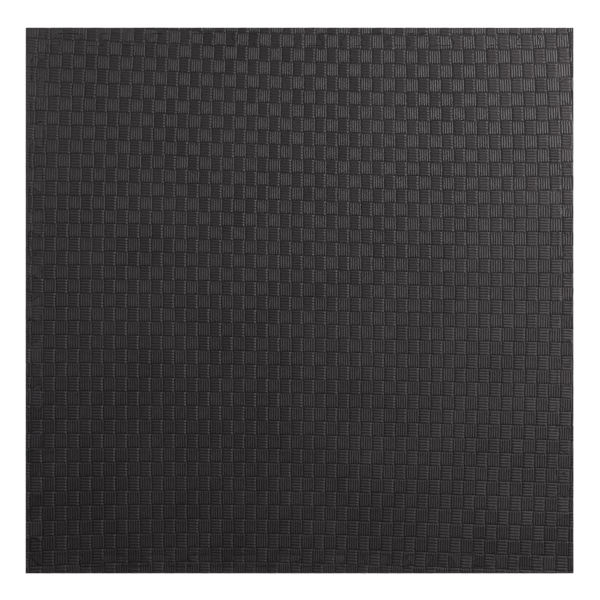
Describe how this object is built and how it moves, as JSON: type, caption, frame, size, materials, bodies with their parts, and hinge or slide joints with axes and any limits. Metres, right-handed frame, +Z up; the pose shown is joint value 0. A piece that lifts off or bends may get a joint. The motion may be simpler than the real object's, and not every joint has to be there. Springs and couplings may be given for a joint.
{
  "type": "interlocking foam tatami mat",
  "caption": "Flat square foam floor mat: a tile with jigsaw sides and fitted straight edging strips, its top pressed in a tatami basket weave.",
  "frame": {"origin": "centre of the mat's underside, edging strips included", "axes": "+Z up out of the woven top, +X to the mat's right and +Y to its back, along its straight outer edges"},
  "size_m": [1.044, 1.04, 0.02],
  "materials": {
    "panel_foam": "satin black closed-cell foam with a pressed basket weave",
    "edging_foam": "satin black closed-cell foam with a pressed basket weave"
  },
  "bodies": {
    "root": {"mat_panel": "panel_foam", "edge_strip_back": "edging_foam", "edge_strip_right": "edging_foam", "edge_strip_front": "edging_foam", "edge_strip_left": "edging_foam"}
  },
  "joints": []
}
